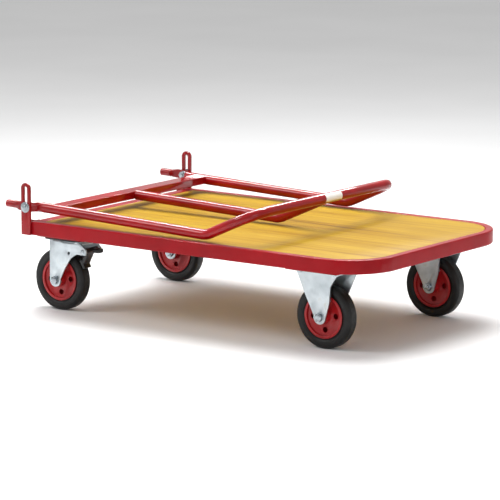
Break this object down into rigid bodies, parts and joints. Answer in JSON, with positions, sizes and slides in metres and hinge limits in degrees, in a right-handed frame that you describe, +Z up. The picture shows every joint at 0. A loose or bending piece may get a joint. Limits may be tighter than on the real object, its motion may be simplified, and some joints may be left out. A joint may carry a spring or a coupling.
{
  "type": "folding platform cart",
  "caption": "Folding platform cart: plywood deck in a red steel rim on swivel and fixed castors, with a cranked tube handle pivoting in slotted posts to fold flat or stand upright.",
  "frame": {"origin": "on the floor under the middle of the cart's box at rest, with the handle folded", "axes": "+X from the handle end towards the nose, +Y to the cart's left, +Z up"},
  "size_m": [1.1038, 0.7026, 0.3365],
  "materials": {
    "rail_paint": "satin",
    "red_paint": "gloss",
    "hub_paint": "satin",
    "plywood": "satin",
    "zinc": "satin",
    "black_steel": "satin",
    "rubber": "matte",
    "black_plastic": "matte",
    "label": "satin"
  },
  "bodies": {
    "cart": {"frame_rail": "rail_paint", "end_cross_member": "rail_paint", "bearer_rear": "rail_paint", "bearer_middle": "rail_paint", "bearer_front_inner": "rail_paint", "bearer_front_outer": "rail_paint", "castor_pads": "rail_paint", "deck_board": "plywood", "deck_screws": "zinc", "slot_post_right": "red_paint", "slot_post_left": "red_paint", "stub_guide_right": "red_paint", "stub_guide_left": "red_paint", "castor_bolts": "zinc", "castor_nuts": "zinc", "swivel_plate_right": "zinc", "swivel_plate_left": "zinc", "kingpins": "zinc", "ball_ring_right": "zinc", "ball_ring_left": "zinc", "fixed_fork_right": "zinc", "fixed_fork_left": "zinc", "fixed_axles": "zinc", "fixed_axle_nuts": "zinc", "fixed_sleeves": "zinc"},
    "pivot_slider": {"pivot_bolts": "zinc", "pivot_washers": "zinc", "pivot_nuts": "zinc"},
    "handle": {"handle_tube": "red_paint", "centre_tube": "red_paint", "base_bar": "red_paint", "grip_label": "label"},
    "swivel_right": {"swivel_fork_right": "zinc", "swivel_axle_right": "zinc", "swivel_axle_nut_right": "zinc", "swivel_sleeve_right": "zinc", "brake_pin_right": "zinc"},
    "wheel_rear_right": {"tyre_rear_right": "rubber", "wheel_centre_rear_right": "hub_paint", "wheel_bearing_rear_right": "black_plastic"},
    "wheel_front_right": {"tyre_front_right": "rubber", "wheel_centre_front_right": "hub_paint", "wheel_bearing_front_right": "black_plastic"},
    "brake_right": {"brake_lever_right": "black_steel", "brake_grip_right": "black_plastic"},
    "swivel_left": {"swivel_fork_left": "zinc", "swivel_axle_left": "zinc", "swivel_axle_nut_left": "zinc", "swivel_sleeve_left": "zinc", "brake_pin_left": "zinc"},
    "wheel_rear_left": {"tyre_rear_left": "rubber", "wheel_centre_rear_left": "hub_paint", "wheel_bearing_rear_left": "black_plastic"},
    "wheel_front_left": {"tyre_front_left": "rubber", "wheel_centre_front_left": "hub_paint", "wheel_bearing_front_left": "black_plastic"},
    "brake_left": {"brake_lever_left": "black_steel", "brake_grip_left": "black_plastic"}
  },
  "joints": [
    {"name": "handle_lift", "type": "slide", "parent": "cart", "child": "pivot_slider", "axis": [0, 0, 1], "range_m": [0, 0.048]},
    {"name": "handle_fold", "type": "hinge", "parent": "pivot_slider", "child": "handle", "pos_m": [-0.4796, 0, 0.274], "axis": [0, -1, 0], "range_deg": [0, 92]},
    {"name": "castor_swivel_right", "type": "hinge", "parent": "cart", "child": "swivel_right", "pos_m": [-0.3901, -0.244, 0.18], "axis": [0, 0, 1], "continuous": true},
    {"name": "wheel_spin_rear_right", "type": "hinge", "parent": "swivel_right", "child": "wheel_rear_right", "pos_m": [-0.4391, -0.244, 0.08], "axis": [0, 1, 0], "continuous": true},
    {"name": "brake_press_right", "type": "hinge", "parent": "swivel_right", "child": "brake_right", "pos_m": [-0.3491, -0.244, 0.163], "axis": [0, 1, 0], "range_deg": [0, 5]},
    {"name": "wheel_spin_front_right", "type": "hinge", "parent": "cart", "child": "wheel_front_right", "pos_m": [0.3819, -0.244, 0.08], "axis": [0, 1, 0], "continuous": true},
    {"name": "castor_swivel_left", "type": "hinge", "parent": "cart", "child": "swivel_left", "pos_m": [-0.3901, 0.244, 0.18], "axis": [0, 0, 1], "continuous": true},
    {"name": "wheel_spin_rear_left", "type": "hinge", "parent": "swivel_left", "child": "wheel_rear_left", "pos_m": [-0.4391, 0.244, 0.08], "axis": [0, 1, 0], "continuous": true},
    {"name": "brake_press_left", "type": "hinge", "parent": "swivel_left", "child": "brake_left", "pos_m": [-0.3491, 0.244, 0.163], "axis": [0, 1, 0], "range_deg": [0, 5]},
    {"name": "wheel_spin_front_left", "type": "hinge", "parent": "cart", "child": "wheel_front_left", "pos_m": [0.3819, 0.244, 0.08], "axis": [0, 1, 0], "continuous": true}
  ]
}
